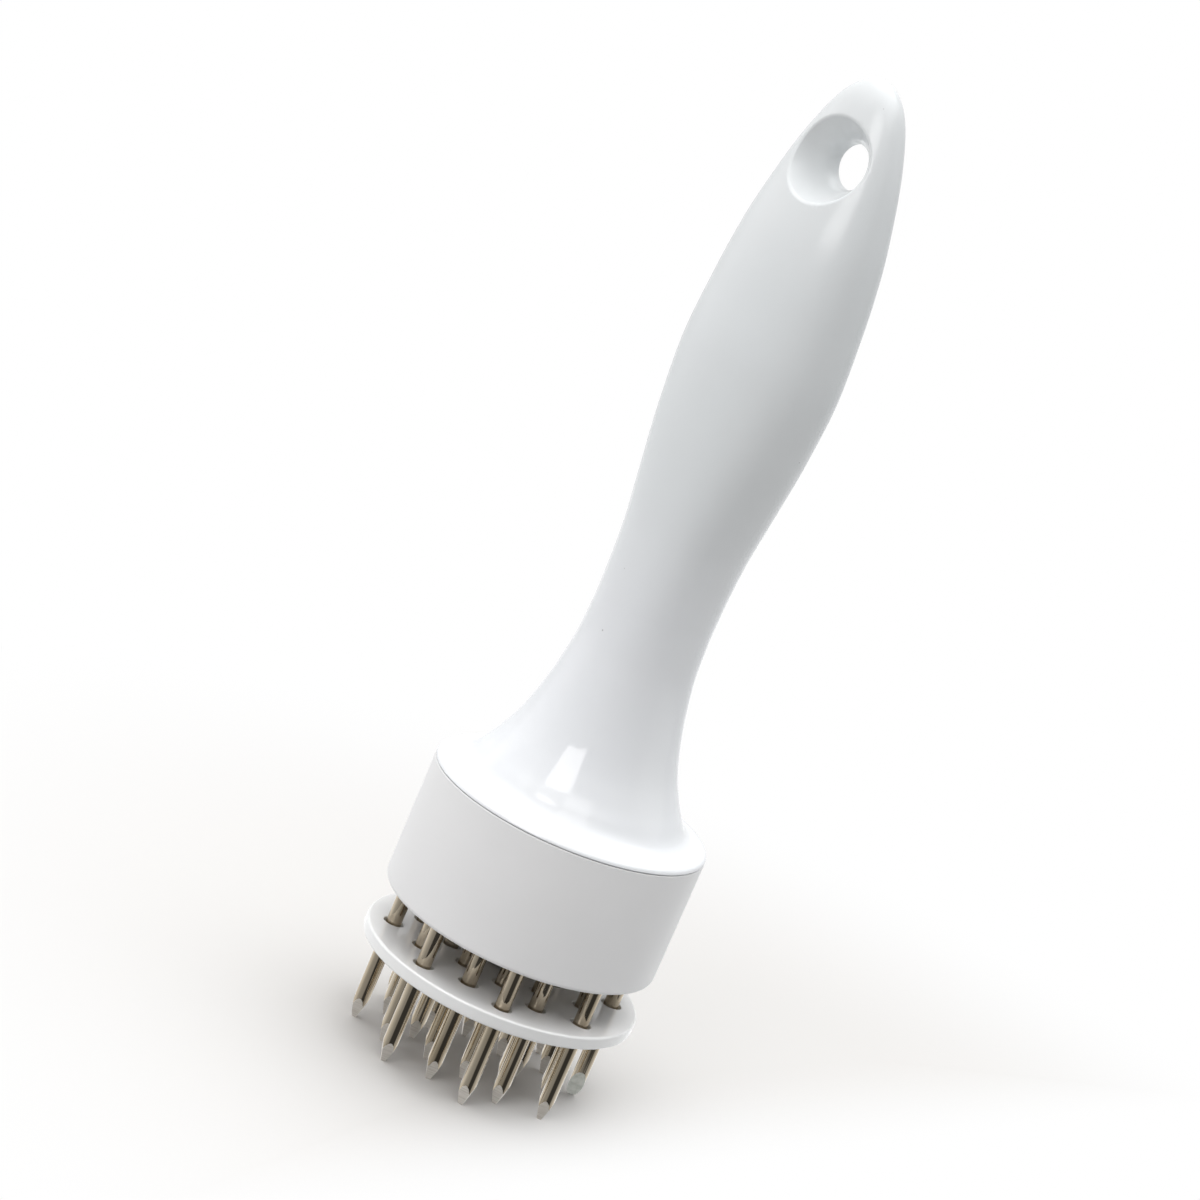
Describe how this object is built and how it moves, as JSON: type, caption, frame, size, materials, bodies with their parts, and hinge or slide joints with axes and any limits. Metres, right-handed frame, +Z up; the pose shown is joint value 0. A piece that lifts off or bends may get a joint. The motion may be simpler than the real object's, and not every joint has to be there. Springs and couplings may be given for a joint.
{
  "type": "meat tenderizer",
  "caption": "Hand-held meat tenderizer: a moulded grip handle over a round head of pointed needles, with a sprung guard plate that slides up them.",
  "frame": {"origin": "centre of the circle of needle tips, on the surface that the tips stand on", "axes": "+Z up the handle along the needles; the hang hole runs along Y; the grip is widest along X"},
  "size_m": [0.0554, 0.0554, 0.2026],
  "materials": {
    "handle_plastic": "glossy cool white moulding",
    "collar_plastic": "satin white moulding",
    "guard_plastic": "glossy white moulding",
    "carrier_plastic": "plain white moulding",
    "needle_steel": "nickel-plated drawn wire with ground points",
    "plated_steel": "zinc plated",
    "spring_steel": "drawn spring wire"
  },
  "bodies": {
    "handle_body": {"handle": "handle_plastic", "collar": "collar_plastic", "needle_carrier": "carrier_plastic", "clamp_plate": "plated_steel", "carrier_screw_1": "plated_steel", "carrier_screw_2": "plated_steel", "carrier_screw_3": "plated_steel", "carrier_screw_4": "plated_steel", "spring_seat": "plated_steel", "return_spring": "spring_steel", "needle_outer_1": "needle_steel", "needle_outer_2": "needle_steel", "needle_outer_3": "needle_steel", "needle_outer_4": "needle_steel", "needle_outer_5": "needle_steel", "needle_outer_6": "needle_steel", "needle_outer_7": "needle_steel", "needle_outer_8": "needle_steel", "needle_middle_1": "needle_steel", "needle_middle_2": "needle_steel", "needle_middle_3": "needle_steel", "needle_middle_4": "needle_steel", "needle_middle_5": "needle_steel", "needle_middle_6": "needle_steel", "needle_middle_7": "needle_steel", "needle_middle_8": "needle_steel", "needle_inner_1": "needle_steel", "needle_inner_2": "needle_steel", "needle_inner_3": "needle_steel", "needle_inner_4": "needle_steel", "needle_inner_5": "needle_steel", "needle_inner_6": "needle_steel", "needle_inner_7": "needle_steel", "needle_inner_8": "needle_steel"},
    "guard_body": {"guard_plate": "guard_plastic", "guide_stem": "plated_steel", "guard_screw": "plated_steel", "stop_washer": "plated_steel", "stem_screw": "plated_steel"}
  },
  "joints": [
    {"name": "guard_slide", "type": "slide", "parent": "handle_body", "child": "guard_body", "axis": [0, 0, 1], "range_m": [0, 0.0085], "stiffness_N_per_m": 300, "springref_m": -0.01, "deforming": ["return_spring"]}
  ]
}
